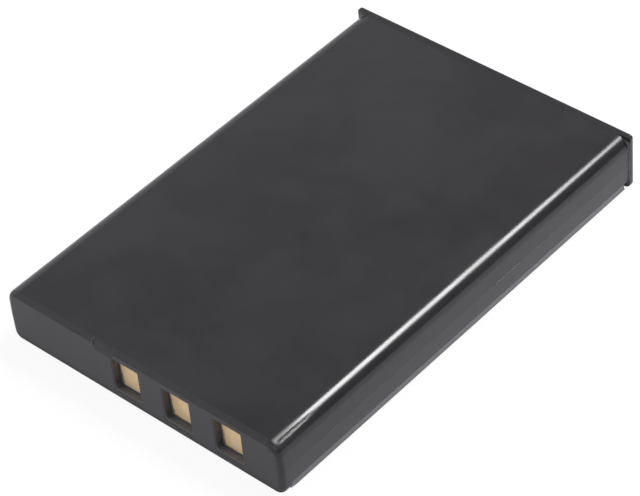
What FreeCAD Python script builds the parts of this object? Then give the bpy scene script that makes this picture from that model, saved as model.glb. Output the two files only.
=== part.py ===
# Flat rechargeable lithium-ion battery pack with a hard moulded case, millimetres.
# X runs across the pack, Y from the contact end to the flange end, Z up from the underside.
# The origin is the centre of the underside.
import FreeCAD, Part
import os
import Sketcher

doc = FreeCAD.newDocument("battery_pack")

# Driving dimensions
SIZES = (
    ("case_length", 53.0, "front face to the outer face of the flange"),
    ("case_width", 35.3, "across the side walls at the parting line"),
    ("case_height", 6.5, "underside to top face"),
    ("top_wall", 0.5, "thickness of the top"),
    ("side_wall", 0.7, "thickness of the long walls"),
    ("front_wall", 0.9, "thickness of the wall with the contact windows"),
    ("rear_wall", 0.4, "thickness of the rear wall without its flange"),
    ("parting_height", 3.2, "level of the mould parting line on the side walls"),
    ("wall_lean", 0.1, "how far each half of a side wall leans in from the parting line"),
    ("edge_radius", 1.5, "round of the long top edges"),
    ("foot_radius", 1.0, "round of the lower corners of the front wall"),
    ("front_round", 0.6, "round all along the outline of the front face"),
    ("flange_thickness", 0.45, "thickness of the end flange"),
    ("flange_proud", 0.3, "how far the flange stands out at the top"),
    ("flange_ledge", 0.12, "how far the flange stands out at the sides"),
    ("flange_top_radius", 0.35, "upper corners of the flange"),
    ("flange_foot_radius", 0.8, "lower corners of the flange"),
    ("flange_edge", 0.1, "round of the flange's rear rim"),
    ("flange_blend", 0.1, "hollow round where the case runs into the flange"),
    ("inner_round", 0.2, "least round of the inner edges under the top"),
    ("round_limit", 0.85, "largest share of its neighbour that a round may take"),
    ("notch_depth", 0.8, "how far the foot of the rear wall stands in from the sides"),
    ("rim_height", 1.1, "height of the cover's edge that shows below the side walls"),
    ("rim_lean", 0.22, "how far the cover's edge leans in towards the underside"),
    ("rim_round", 0.12, "round of the cover's lower long edges"),
    ("rim_slope", 0.45, "run of the sloping rear end of the cover"),
    ("front_rise", 0.25, "rise of the cover's underside at its front end"),
    ("front_run", 1.2, "run of that rise"),
    ("cover_floor", 0.5, "thickness of the cover"),
    ("seat_gap", 0.05, "room round the cover where it drops into the case"),
    ("lip_thickness", 0.35, "tongue of the cover inside the side walls"),
    ("lip_height", 0.7, "height of that tongue above the cover's edge"),
    ("window_width", 3.3, "contact window across"),
    ("window_height", 4.0, "contact window upwards"),
    ("window_level", 3.3, "height of the windows' centres"),
    ("window_pitch", 6.5, "from one window to the next"),
    ("window_inset", 6.52, "last window's centre in from the right side"),
    ("window_round", 0.2, "round of the windows' outer edges"),
    ("scoop_radius", 1.52, "half-moon scoop in the front face"),
    ("scoop_offset", 2.68, "scoop to the left of the first window's centre"),
    ("scoop_drop", 1.2, "foot of the scoop below the top face"),
    ("scoop_slope", 12.0, "slope of the scoop's floor to the front face, in degrees"),
    ("rib_reach", 1.0, "how far the board's ribs stand out of the side walls"),
    ("rib_thickness", 0.6, "thickness of those ribs"),
    ("contact_thickness", 0.3, "contact plate"),
    ("contact_margin", 0.3, "contact plate beyond each side of its window"),
    ("contact_room", 0.1, "room above and below a contact plate"),
    ("contact_corner", 0.3, "round of a contact plate's corners"),
    ("board_thickness", 0.6, "circuit board"),
    ("board_room", 0.15, "room round the board"),
    ("board_corner", 0.4, "round of the board's corners"),
    ("header_space", 2.4, "from the board to the can"),
    ("lead_thickness", 0.15, "leads of the two chips"),
    ("lead_width", 0.3, "width of a lead"),
    ("chip_standoff", 0.05, "room between the two chips' mouldings and the board"),
    ("switch_share", 0.305, "power transistor's place, as a share of the board's half width"),
    ("switch_across", 4.4, "transistor's body across"),
    ("switch_tall", 3.0, "transistor's body upwards"),
    ("switch_span", 6.4, "transistor over its leads"),
    ("switch_pitch", 0.65, "pitch of its leads"),
    ("switch_high", 0.95, "transistor above the board"),
    ("monitor_share", -0.183, "protection chip's place, as such a share"),
    ("monitor_across", 1.6, "protection chip's body across"),
    ("monitor_tall", 2.9, "protection chip's body upwards"),
    ("monitor_span", 2.8, "protection chip over its leads"),
    ("monitor_pitch", 0.95, "pitch of its leads"),
    ("monitor_high", 0.9, "protection chip above the board"),
    ("chip_long", 1.6, "small chips across"),
    ("chip_tall", 0.8, "small chips upwards"),
    ("chip_spread", 1.9, "between the two chips of a pair"),
    ("resistor_share", -0.396, "resistors' place, as such a share"),
    ("resistor_high", 0.45, "resistors above the board"),
    ("capacitor_share", 0.628, "capacitors' place, as such a share"),
    ("capacitor_high", 0.8, "capacitors above the board"),
    ("thermistor_share", -0.561, "thermistor's place, as such a share"),
    ("thermistor_high", 0.6, "thermistor above the board"),
    ("tape_thickness", 0.15, "adhesive tapes above and below the can"),
    ("tape_inset", 1.5, "tape in from the can's flat sides"),
    ("tape_ends", 3.0, "tape in from the can's ends"),
    ("foam_thickness", 0.5, "foam pad behind the can"),
    ("foam_inset", 1.2, "foam in from the can's outline"),
    ("can_room", 0.1, "room between the can and the cover's tongues"),
    ("can_radius", 2.2, "rounded long edges of the can"),
    ("can_base_radius", 0.5, "round of the can's drawn bottom"),
    ("card_thickness", 0.15, "insulating card on the can's end"),
    ("card_inset", 0.3, "card in from the can's outline"),
    ("card_room", 0.2, "room round what passes through the card"),
    ("gasket_across", 4.4, "terminal gasket across"),
    ("gasket_tall", 2.8, "terminal gasket upwards"),
    ("gasket_thickness", 0.3, "terminal gasket"),
    ("terminal_inset", 0.45, "terminal plate in from its gasket"),
    ("terminal_thickness", 0.3, "terminal plate"),
    ("terminal_corner", 0.3, "round corners of the terminal plate"),
    ("plate_corner", 0.5, "round corners of gasket and can pad"),
    ("pad_share", -0.605, "can pad's place, as a share of the can's half width"),
    ("pad_across", 4.0, "can pad across"),
    ("pad_tall", 2.8, "can pad upwards"),
    ("plug_share", -0.316, "filling plug's place, as such a share"),
    ("plug_radius", 0.7, "filling plug"),
    ("plug_thickness", 0.12, "head of the filling plug"),
    ("plug_round", 0.07, "round of that head"),
    ("strip_thickness", 0.15, "nickel strips and fuse leads"),
    ("strip_width", 2.2, "nickel strips and fuse leads"),
    ("strip_bend", 0.12, "inner bend of a nickel strip"),
    ("strip_corner", 0.4, "round corners of the flat strip"),
    ("strip_flat", 3.0, "welded length of the can's strip"),
    ("strip_foot", 2.2, "length of a strip that lies on the board"),
    ("fuse_long", 5.0, "thermal fuse across"),
    ("fuse_tall", 2.8, "thermal fuse upwards"),
    ("fuse_thickness", 0.9, "thermal fuse"),
    ("lead_clear", 1.2, "from the terminal to the end of the fuse's inner lead"),
    ("link_room", 3.3, "from the end of the fuse's outer lead to the can's side"),
    ("fuse_clear", 0.4, "bare lead between the fuse and the strip welded to it"),
    ("fuse_corner", 0.3, "round corners of the fuse"),
)

sheet = doc.addObject("Spreadsheet::Sheet", "Sizes")
for row, (alias, size, note) in enumerate(SIZES, start=1):
    sheet.set("A%d" % row, alias)
    sheet.set("B%d" % row, str(size))
    sheet.set("C%d" % row, note)
    sheet.setAlias("B%d" % row, alias)
doc.recompute()

# Places worked out from the sizes, as expressions
SIDE = "(Sizes.case_width / 2)"
INNER_SIDE = "(Sizes.case_width / 2 - Sizes.side_wall)"
LEANT_SIDE = "(Sizes.case_width / 2 - Sizes.wall_lean)"
RIM_SIDE = "(Sizes.case_width / 2 - Sizes.wall_lean * (1 - Sizes.rim_height / Sizes.parting_height))"
CEILING = "(Sizes.case_height - Sizes.top_wall)"
FRONT = "(-Sizes.case_length / 2)"
WALL_BACK = "(%s + Sizes.front_wall)" % FRONT
CONTACT_BACK = "(%s + Sizes.contact_thickness)" % WALL_BACK
BOARD_BACK = "(%s + Sizes.board_thickness)" % CONTACT_BACK
LAST_WINDOW = "(%s - Sizes.window_inset)" % SIDE
FIRST_WINDOW = "(%s - 2 * Sizes.window_pitch)" % LAST_WINDOW
REAR = "(Sizes.case_length / 2)"
FLANGE_SIDE = "(%s + Sizes.flange_ledge)" % SIDE
FLANGE_FRONT = "(%s - Sizes.flange_thickness)" % REAR
REAR_FACE = "(%s - Sizes.rear_wall)" % FLANGE_FRONT
LIP_SIDE = "(%s - Sizes.seat_gap)" % INNER_SIDE
LIP_INNER = "(%s - Sizes.lip_thickness)" % LIP_SIDE
LIP_TOP = "(Sizes.rim_height + Sizes.lip_height)"
COVER_FRONT = "(%s + Sizes.seat_gap)" % CONTACT_BACK
COVER_REAR = "(%s - Sizes.seat_gap)" % REAR_FACE
BOARD_SIDE = "(%s - Sizes.board_room)" % LIP_INNER
BOARD_TOP = "(%s - Sizes.board_room)" % CEILING
CAN_SIDE = "(%s - Sizes.can_room)" % LIP_INNER
CAN_BOTTOM = "(Sizes.cover_floor + Sizes.tape_thickness)"
CAN_TOP = "(%s - Sizes.tape_thickness)" % CEILING
CAN_FRONT = "(%s + Sizes.header_space)" % BOARD_BACK
CAN_REAR = "(%s - Sizes.foam_thickness)" % REAR_FACE
CAN_RADIUS = "min(Sizes.can_radius; Sizes.round_limit * (%s - %s) / 2)" % (CAN_TOP, CAN_BOTTOM)
MIDDLE = "((%s + %s) / 2)" % (CAN_BOTTOM, CAN_TOP)
CARD_FRONT = "(%s - Sizes.card_thickness)" % CAN_FRONT
GASKET_FRONT = "(%s - Sizes.gasket_thickness)" % CAN_FRONT
WELD_FACE = "(%s - Sizes.terminal_thickness)" % GASKET_FRONT
STRIP_FRONT = "(%s - Sizes.strip_thickness)" % WELD_FACE
PAD_PLACE = "(Sizes.pad_share * %s)" % CAN_SIDE
PLUG_PLACE = "(Sizes.plug_share * %s)" % CAN_SIDE
TERMINAL_SIDE = "(Sizes.gasket_across / 2 - Sizes.terminal_inset)"
LEAD_INNER = "(%s + Sizes.lead_clear)" % TERMINAL_SIDE
LEAD_OUTER = "(%s - Sizes.link_room)" % CAN_SIDE
FUSE_PLACE = "((%s + %s) / 2)" % (LEAD_INNER, LEAD_OUTER)
FUSE_RIGHT = "(%s + Sizes.fuse_long / 2)" % FUSE_PLACE
FUSE_LEFT = "(%s - Sizes.fuse_long / 2)" % FUSE_PLACE


def value(expression):
    """Number that an expression over the sheet gives."""
    return float(sheet.evalExpression(expression))


# Slack in millimetres for finding edges by their place
SLACK = 1e-4


def near(one, other):
    """True where two lengths agree."""
    return abs(one - other) < SLACK


def within(low, number, high):
    """True where a length lies between two others."""
    return low - SLACK < number < high + SLACK


def new_body(label):
    """Body of one sub-part; its label names its file."""
    body = doc.addObject("PartDesign::Body", label)
    body.Label = label
    return body


def sketch_on(body, name, role, place):
    """Empty sketch parallel to one of the body's origin planes, at a place along that plane's axis."""
    sketch = body.newObject("Sketcher::SketchObject", name)
    plane = [item for item in body.Origin.OriginFeatures if item.Role == role][0]
    sketch.AttachmentSupport = [(plane, "")]
    sketch.MapMode = "FlatFace"
    direction = "-" if role == "XZ_Plane" else ""
    sketch.setExpression("AttachmentOffset.Base.z", "%s(%s)" % (direction, place))
    return sketch


def hold_point(sketch, geometry, point, across, up):
    """Hold a point of a sketch at two expressions."""
    for kind, expression in (("DistanceX", across), ("DistanceY", up)):
        held = Sketcher.Constraint(kind, -1, 1, geometry, point, value(expression))
        number = sketch.addConstraint(held)
        sketch.setExpression("Constraints[%d]" % number, expression)


def outline(sketch, corners):
    """Closed outline of straight lines with every corner held at its own expressions."""
    places = [FreeCAD.Vector(value(across), value(up), 0) for across, up in corners]
    first = sketch.GeometryCount
    count = len(corners)
    for number in range(count):
        sketch.addGeometry(Part.LineSegment(places[number], places[(number + 1) % count]))
    for number in range(count):
        joined = Sketcher.Constraint("Coincident", first + number, 2, first + (number + 1) % count, 1)
        sketch.addConstraint(joined)
    for number, (across, up) in enumerate(corners):
        hold_point(sketch, first + number, 1, across, up)


def rectangle(sketch, left, right, low, high):
    """Closed rectangle between four expressions."""
    outline(sketch, ((left, low), (right, low), (right, high), (left, high)))


def circle(sketch, across, up, radius):
    """Circle held at its centre and by its radius."""
    centre = FreeCAD.Vector(value(across), value(up), 0)
    drawn = sketch.addGeometry(Part.Circle(centre, FreeCAD.Vector(0, 0, 1), value(radius)))
    hold_point(sketch, drawn, 3, across, up)
    number = sketch.addConstraint(Sketcher.Constraint("Radius", drawn, value(radius)))
    sketch.setExpression("Constraints[%d]" % number, radius)


def pad(body, sketch, name, depth):
    """Pad towards +Y from an XZ sketch and towards +Z from an XY sketch."""
    feature = body.newObject("PartDesign::Pad", name)
    feature.Profile = sketch
    feature.Reversed = sketch.AttachmentSupport[0][0].Role == "XZ_Plane"
    feature.setExpression("Length", depth)
    doc.recompute()
    return feature


def pocket(body, sketch, name, depth, outward=False):
    """Pocket towards +Y from an XZ sketch, towards -X from a YZ sketch, or the other way; it has to cut."""
    before = body.Shape.Volume
    feature = body.newObject("PartDesign::Pocket", name)
    feature.Profile = sketch
    feature.Reversed = outward
    feature.setExpression("Length", depth)
    doc.recompute()
    if not feature.Shape.Volume < before:
        raise RuntimeError("%s cuts nothing" % name)
    return feature


def fillet(body, name, radius, wanted):
    """Round every edge whose bounding box is wanted."""
    base = body.Tip
    edges = ["Edge%d" % number for number, edge in enumerate(base.Shape.Edges, 1) if wanted(edge.BoundBox)]
    feature = body.newObject("PartDesign::Fillet", name)
    feature.Base = (base, edges)
    feature.setExpression("Radius", radius)
    doc.recompute()
    return feature


def runs_along_y(box):
    """True for a straight edge along Y."""
    return near(box.XLength, 0) and near(box.ZLength, 0)


def plate(label, place, thickness, sides, levels, corner):
    """Flat plate across the pack with rounded corners, as a body that later features can cut."""
    body = new_body(label)
    sketch = sketch_on(body, label + "_outline", "XZ_Plane", place)
    rectangle(sketch, sides[0], sides[1], levels[0], levels[1])
    pad(body, sketch, label + "_plate", thickness)
    if corner:
        fillet(body, label + "_corners", corner, runs_along_y)
    return body


# Moulded case: top, side walls, front wall with its windows, rear wall with its flange
def main_case():
    body = new_body("main_case")
    section = sketch_on(body, "case_section", "XZ_Plane", FRONT)
    outline(section, (
        ("-" + RIM_SIDE, "Sizes.rim_height"), (RIM_SIDE, "Sizes.rim_height"),
        (SIDE, "Sizes.parting_height"), (LEANT_SIDE, "Sizes.case_height"),
        ("-" + LEANT_SIDE, "Sizes.case_height"), ("-" + SIDE, "Sizes.parting_height")))
    pad(body, section, "case_block", "Sizes.case_length")

    front = sketch_on(body, "front_outline", "XZ_Plane", FRONT)
    outline(front, (
        ("-" + LEANT_SIDE, "0"), (LEANT_SIDE, "0"),
        (SIDE, "Sizes.parting_height"), (LEANT_SIDE, "Sizes.case_height"),
        ("-" + LEANT_SIDE, "Sizes.case_height"), ("-" + SIDE, "Sizes.parting_height")))
    pad(body, front, "front_block", "Sizes.front_wall + Sizes.contact_thickness")

    height = value("Sizes.case_height")
    front_place = value(FRONT)
    fillet(body, "long_edges",
           "min(Sizes.edge_radius; Sizes.round_limit * (Sizes.case_height - Sizes.parting_height))",
           lambda box: runs_along_y(box) and near(box.ZMin, height))
    fillet(body, "front_feet", "min(Sizes.foot_radius; Sizes.round_limit * Sizes.parting_height)",
           lambda box: runs_along_y(box) and near(box.ZMin, 0))
    fillet(body, "front_rounding", "min(Sizes.front_round; Sizes.round_limit * Sizes.foot_radius;"
           " Sizes.round_limit * Sizes.edge_radius; Sizes.round_limit * Sizes.front_wall)",
           lambda box: near(box.YMin, front_place) and near(box.YMax, front_place))

    cavity = sketch_on(body, "cavity_section", "XZ_Plane", WALL_BACK)
    rectangle(cavity, "-" + INNER_SIDE, INNER_SIDE, "Sizes.rim_height", CEILING)
    pocket(body, cavity, "cavity", "%s - %s" % (REAR_FACE, WALL_BACK))
    ceiling = value(CEILING)
    inner = value(INNER_SIDE)
    fillet(body, "inner_edges", "max(Sizes.edge_radius - Sizes.side_wall; Sizes.inner_round)",
           lambda box: runs_along_y(box) and near(box.ZMin, ceiling) and near(abs(box.XMin), inner))

    flange = sketch_on(body, "flange_outline", "XZ_Plane", FLANGE_FRONT)
    rectangle(flange, "-" + FLANGE_SIDE, FLANGE_SIDE, "0", "Sizes.case_height + Sizes.flange_proud")
    pad(body, flange, "flange", "Sizes.flange_thickness")
    flange_top = value("Sizes.case_height + Sizes.flange_proud")
    flange_side = value(FLANGE_SIDE)
    fillet(body, "flange_shoulders", "Sizes.flange_top_radius",
           lambda box: runs_along_y(box) and near(box.ZMin, flange_top) and near(abs(box.XMin), flange_side))
    fillet(body, "flange_feet", "min(Sizes.flange_foot_radius; Sizes.round_limit * Sizes.case_height / 2)",
           lambda box: runs_along_y(box) and near(box.ZMin, 0) and near(abs(box.XMin), flange_side))
    rear = value(REAR)
    fillet(body, "flange_rim", "min(Sizes.flange_edge; Sizes.round_limit * Sizes.flange_thickness / 2)",
           lambda box: near(box.YMin, rear) and near(box.YMax, rear))
    flange_front = value(FLANGE_FRONT)
    rim = value("Sizes.rim_height")
    side = value(SIDE)
    fillet(body, "flange_root", "min(Sizes.flange_blend; Sizes.round_limit * Sizes.flange_ledge)",
           lambda box: near(box.YMin, flange_front) and near(box.YMax, flange_front)
           and within(rim, box.ZMin, height) and within(rim, box.ZMax, height) and not near(box.ZMax, rim)
           and within(-side, box.XMin, side) and within(-side, box.XMax, side))
    # The flange's upper front slopes back at 45 degrees from a line that stands clear of the hollow round
    slope_start = FLANGE_FRONT + " - Sizes.flange_blend / 3"
    top_ramp = sketch_on(body, "top_ramp_outline", "YZ_Plane", FLANGE_SIDE)
    top_start = "Sizes.case_height + Sizes.flange_blend / 3"
    outline(top_ramp, (
        (slope_start, top_start), (slope_start, top_start + " + Sizes.flange_proud"),
        (slope_start + " + Sizes.flange_proud", top_start + " + Sizes.flange_proud")))
    pocket(body, top_ramp, "top_ramp", "2 * " + FLANGE_SIDE)

    foot = sketch_on(body, "rear_foot_outline", "XZ_Plane", REAR_FACE)
    rectangle(foot, "-(%s - Sizes.notch_depth)" % SIDE, "%s - Sizes.notch_depth" % SIDE, "0",
              "Sizes.rim_height")
    pad(body, foot, "rear_foot", "Sizes.rear_wall")

    window = sketch_on(body, "window_outline", "XZ_Plane", FRONT)
    rectangle(window, FIRST_WINDOW + " - Sizes.window_width / 2", FIRST_WINDOW + " + Sizes.window_width / 2",
              "Sizes.window_level - Sizes.window_height / 2", "Sizes.window_level + Sizes.window_height / 2")
    first_window = pocket(body, window, "first_window", "Sizes.front_wall")
    windows = body.newObject("PartDesign::LinearPattern", "windows")
    windows.Originals = [first_window]
    windows.Direction = (window, ["H_Axis"])
    windows.setExpression("Length", "2 * Sizes.window_pitch")
    windows.Occurrences = 3
    body.Tip = windows
    doc.recompute()

    left = value(FIRST_WINDOW + " - Sizes.window_width")
    right = value(LAST_WINDOW + " + Sizes.window_width")
    fillet(body, "window_edges", "Sizes.window_round",
           lambda box: near(box.YMin, front_place) and near(box.YMax, front_place)
           and within(left, box.XMin, right) and within(left, box.XMax, right))

    scoop = sketch_on(body, "scoop_floor", "XZ_Plane", FRONT)
    scoop.AttachmentOffset = FreeCAD.Placement(scoop.AttachmentOffset.Base, FreeCAD.Rotation(
        FreeCAD.Vector(1, 0, 0), -value("Sizes.scoop_slope")))
    scoop.setExpression("AttachmentOffset.Base.y", "Sizes.case_height - Sizes.scoop_drop")
    scoop.setExpression("AttachmentOffset.Rotation.Angle", "-Sizes.scoop_slope")
    circle(scoop, FIRST_WINDOW + " - Sizes.scoop_offset", "Sizes.scoop_drop", "Sizes.scoop_radius")
    pocket(body, scoop, "scoop", "Sizes.front_wall", outward=True)

    ribs = sketch_on(body, "rib_outlines", "XY_Plane", "%s + Sizes.seat_gap" % LIP_TOP)
    rib_front = "%s + Sizes.seat_gap" % BOARD_BACK
    rib_root = "%s + Sizes.seat_gap" % INNER_SIDE
    rib_tip = "%s - Sizes.rib_reach" % INNER_SIDE
    rectangle(ribs, rib_tip, rib_root, rib_front, rib_front + " + Sizes.rib_thickness")
    rectangle(ribs, "-(%s)" % rib_root, "-(%s)" % rib_tip, rib_front, rib_front + " + Sizes.rib_thickness")
    pad(body, ribs, "board_ribs", "%s - %s - Sizes.seat_gap" % (CEILING, LIP_TOP))
    return body


# Moulded cover that closes the underside, with a tongue inside each side wall
def bottom_cover():
    body = new_body("bottom_cover")
    section = sketch_on(body, "cover_section", "XZ_Plane", COVER_FRONT)
    lower_side = "(%s - Sizes.rim_lean)" % RIM_SIDE
    right = (
        (lower_side, "0"), (RIM_SIDE, "Sizes.rim_height"), (LIP_SIDE, "Sizes.rim_height"),
        (LIP_SIDE, LIP_TOP), (LIP_INNER, LIP_TOP), (LIP_INNER, "Sizes.cover_floor"))
    left = tuple(("-" + across, up) for across, up in reversed(right))
    outline(section, right + left)
    pad(body, section, "cover_tray", "%s - %s" % (COVER_REAR, COVER_FRONT))
    fillet(body, "rim_rounding", "min(Sizes.rim_round; Sizes.round_limit * Sizes.rim_height / 2)",
           lambda box: runs_along_y(box) and near(box.ZMin, 0))

    slope = sketch_on(body, "slope_outlines", "YZ_Plane", SIDE)
    outline(slope, (
        (COVER_REAR, "0"), (COVER_REAR, LIP_TOP),
        ("%s - Sizes.rim_slope * %s / Sizes.rim_height" % (COVER_REAR, LIP_TOP), LIP_TOP)))
    outline(slope, (
        (COVER_FRONT, "0"), (COVER_FRONT + " + Sizes.front_run", "0"), (COVER_FRONT, "Sizes.front_rise")))
    pocket(body, slope, "end_slopes", "Sizes.case_width")
    return body


# Gold-plated contact plate behind one window, soldered to the board
def contact(label, number):
    place = "%s + %d * Sizes.window_pitch" % (FIRST_WINDOW, number)
    reach = "(Sizes.window_width / 2 + Sizes.contact_margin)"
    return plate(label, WALL_BACK, "Sizes.contact_thickness",
                 ("%s - %s" % (place, reach), "%s + %s" % (place, reach)),
                 ("Sizes.rim_height + Sizes.contact_room", "%s - Sizes.contact_room" % CEILING),
                 "Sizes.contact_corner")


# Circuit board, standing on the cover behind the contact plates
def protection_board():
    return plate("protection_board", CONTACT_BACK, "Sizes.board_thickness",
                 ("-" + BOARD_SIDE, BOARD_SIDE), ("Sizes.cover_floor", BOARD_TOP), "Sizes.board_corner")


# Moulded chip with a row of flat leads on each side, soldered to the board's back
def leaded_chip(label, kind, leads):
    body = new_body(label)
    place = "Sizes.%s_share * %s" % (kind, BOARD_SIDE)
    moulding = sketch_on(body, label + "_outline", "XZ_Plane", BOARD_BACK + " + Sizes.chip_standoff")
    half = "Sizes.%s_across / 2" % kind
    rectangle(moulding, "%s - %s" % (place, half), "%s + %s" % (place, half),
              "%s - Sizes.%s_tall / 2" % (MIDDLE, kind), "%s + Sizes.%s_tall / 2" % (MIDDLE, kind))
    pad(body, moulding, label + "_moulding", "Sizes.%s_high - Sizes.chip_standoff" % kind)

    lead = sketch_on(body, label + "_lead_outline", "XZ_Plane", BOARD_BACK)
    lowest = "%s - %s * Sizes.%s_pitch" % (MIDDLE, (leads - 1) / 2, kind)
    rectangle(lead, "%s - Sizes.%s_span / 2" % (place, kind), "%s + Sizes.%s_span / 2" % (place, kind),
              lowest + " - Sizes.lead_width / 2", lowest + " + Sizes.lead_width / 2")
    first_lead = pad(body, lead, label + "_lead", "Sizes.lead_thickness")
    row = body.newObject("PartDesign::LinearPattern", label + "_leads")
    row.Originals = [first_lead]
    row.Direction = (lead, ["V_Axis"])
    row.setExpression("Length", "%d * Sizes.%s_pitch" % (leads - 1, kind))
    row.Occurrences = leads
    body.Tip = row
    doc.recompute()
    return body


# Small unleaded chip on the board's back, at a height above or below the board's middle
def small_chip(label, kind, offset):
    chip = doc.addObject("Part::Box", label)
    chip.Label = label
    chip.setExpression("Length", "Sizes.chip_long")
    chip.setExpression("Width", "Sizes.%s_high" % kind)
    chip.setExpression("Height", "Sizes.chip_tall")
    chip.setExpression("Placement.Base.x", "Sizes.%s_share * %s - Sizes.chip_long / 2" % (kind, BOARD_SIDE))
    chip.setExpression("Placement.Base.y", BOARD_BACK)
    chip.setExpression("Placement.Base.z", "%s - Sizes.chip_tall / 2 + %s" % (MIDDLE, offset))
    return chip


# Pair of small chips, one above the other, as two solids of one sub-part
def chip_pair(label, kind):
    pair = doc.addObject("Part::Compound", label)
    pair.Label = label
    pair.Links = [small_chip(kind + "_lower", kind, "-Sizes.chip_spread / 2"),
                  small_chip(kind + "_upper", kind, "Sizes.chip_spread / 2")]
    return pair


# Thermal cut-off with a flat lead at each end, lying on the insulating card
def thermal_fuse():
    half = "Sizes.fuse_tall / 2"
    body = plate("thermal_fuse", CARD_FRONT + " - Sizes.fuse_thickness", "Sizes.fuse_thickness",
                 (FUSE_LEFT, FUSE_RIGHT), ("%s - %s" % (MIDDLE, half), "%s + %s" % (MIDDLE, half)),
                 "Sizes.fuse_corner")
    leads = sketch_on(body, "fuse_lead_outline", "XZ_Plane", WELD_FACE)
    rectangle(leads, LEAD_INNER, LEAD_OUTER,
              "%s - Sizes.strip_width / 2" % MIDDLE, "%s + Sizes.strip_width / 2" % MIDDLE)
    pad(body, leads, "fuse_leads", "Sizes.strip_thickness")
    return body


# Nickel strip welded at one end and bent forward to lie on the board; turn is -1 or 1 for its side
def bent_strip(label, weld_end, bend, turn):
    body = new_body(label)
    sketch = sketch_on(body, label + "_profile", "XY_Plane", "%s - Sizes.strip_width / 2" % MIDDLE)
    outer = "%s + %d * Sizes.strip_thickness" % (bend, turn)
    tip = "%s + %d * Sizes.strip_foot" % (bend, turn)
    foot_back = BOARD_BACK + " + Sizes.strip_thickness"
    outline(sketch, (
        (weld_end, WELD_FACE), (weld_end, STRIP_FRONT), (bend, STRIP_FRONT), (bend, BOARD_BACK),
        (tip, BOARD_BACK), (tip, foot_back), (outer, foot_back), (outer, WELD_FACE)))
    pad(body, sketch, label + "_strip", "Sizes.strip_width")
    inner_bends = ((value(bend), value(STRIP_FRONT)), (value(outer), value(foot_back)))
    outer_bends = ((value(outer), value(WELD_FACE)), (value(bend), value(BOARD_BACK)))

    def at_one_of(box, places):
        upright = near(box.XLength, 0) and near(box.YLength, 0)
        return upright and any(near(box.XMin, x) and near(box.YMin, y) for x, y in places)

    fillet(body, label + "_inner_bends", "Sizes.strip_bend", lambda box: at_one_of(box, inner_bends))
    fillet(body, label + "_outer_bends", "Sizes.strip_bend + Sizes.strip_thickness",
           lambda box: at_one_of(box, outer_bends))
    return body


# Nickel strip from the can's pad to the board
def positive_tab():
    bend = "(%s - Sizes.strip_flat / 2)" % PAD_PLACE
    return bent_strip("positive_tab", "%s + Sizes.strip_flat / 2" % PAD_PLACE, bend, -1)


# Nickel strip from the fuse's outer lead to the board
def fuse_link():
    return bent_strip("fuse_link", FUSE_RIGHT + " + Sizes.fuse_clear", LEAD_OUTER, 1)


# Flat nickel strip from the terminal to the fuse's inner lead
def negative_tab():
    half = "Sizes.strip_width / 2"
    return plate("negative_tab", STRIP_FRONT, "Sizes.strip_thickness",
                 ("-" + TERMINAL_SIDE, FUSE_LEFT + " - Sizes.fuse_clear"),
                 ("%s - %s" % (MIDDLE, half), "%s + %s" % (MIDDLE, half)), "Sizes.strip_corner")


# Sealed prismatic can, drawn in one piece with rounded long edges and closed at the front
def lithium_cell():
    body = plate("lithium_cell", CAN_FRONT, "%s - %s" % (CAN_REAR, CAN_FRONT), ("-" + CAN_SIDE, CAN_SIDE),
                 (CAN_BOTTOM, CAN_TOP), CAN_RADIUS)
    rear = value(CAN_REAR)
    fillet(body, "drawn_bottom", "min(Sizes.can_base_radius; Sizes.round_limit * Sizes.can_radius / 2)",
           lambda box: near(box.YMin, rear) and near(box.YMax, rear))
    return body


# Plastic seal, riveted terminal plate and clad pad on the can's end
def terminal_gasket():
    half = "Sizes.gasket_tall / 2"
    return plate("terminal_gasket", GASKET_FRONT, "Sizes.gasket_thickness",
                 ("-Sizes.gasket_across / 2", "Sizes.gasket_across / 2"),
                 ("%s - %s" % (MIDDLE, half), "%s + %s" % (MIDDLE, half)), "Sizes.plate_corner")


def cell_terminal():
    half = "(Sizes.gasket_tall / 2 - Sizes.terminal_inset)"
    sides = ("-" + TERMINAL_SIDE, TERMINAL_SIDE)
    return plate("cell_terminal", WELD_FACE, "Sizes.terminal_thickness", sides,
                 ("%s - %s" % (MIDDLE, half), "%s + %s" % (MIDDLE, half)), "Sizes.terminal_corner")


def can_pad():
    half = "Sizes.pad_tall / 2"
    return plate("can_pad", WELD_FACE, "Sizes.gasket_thickness + Sizes.terminal_thickness",
                 ("%s - Sizes.pad_across / 2" % PAD_PLACE, "%s + Sizes.pad_across / 2" % PAD_PLACE),
                 ("%s - %s" % (MIDDLE, half), "%s + %s" % (MIDDLE, half)), "Sizes.plate_corner")


# Round head of the pin that closes the can's filling hole
def filling_plug():
    body = new_body("filling_plug")
    head = sketch_on(body, "plug_outline", "XZ_Plane", CAN_FRONT + " - Sizes.plug_thickness")
    circle(head, PLUG_PLACE, MIDDLE, "Sizes.plug_radius")
    pad(body, head, "plug_head", "Sizes.plug_thickness")
    face = value(CAN_FRONT + " - Sizes.plug_thickness")
    fillet(body, "plug_dome", "min(Sizes.plug_round; Sizes.round_limit * Sizes.plug_thickness)",
           lambda box: near(box.YMin, face) and near(box.YMax, face))
    return body


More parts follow.
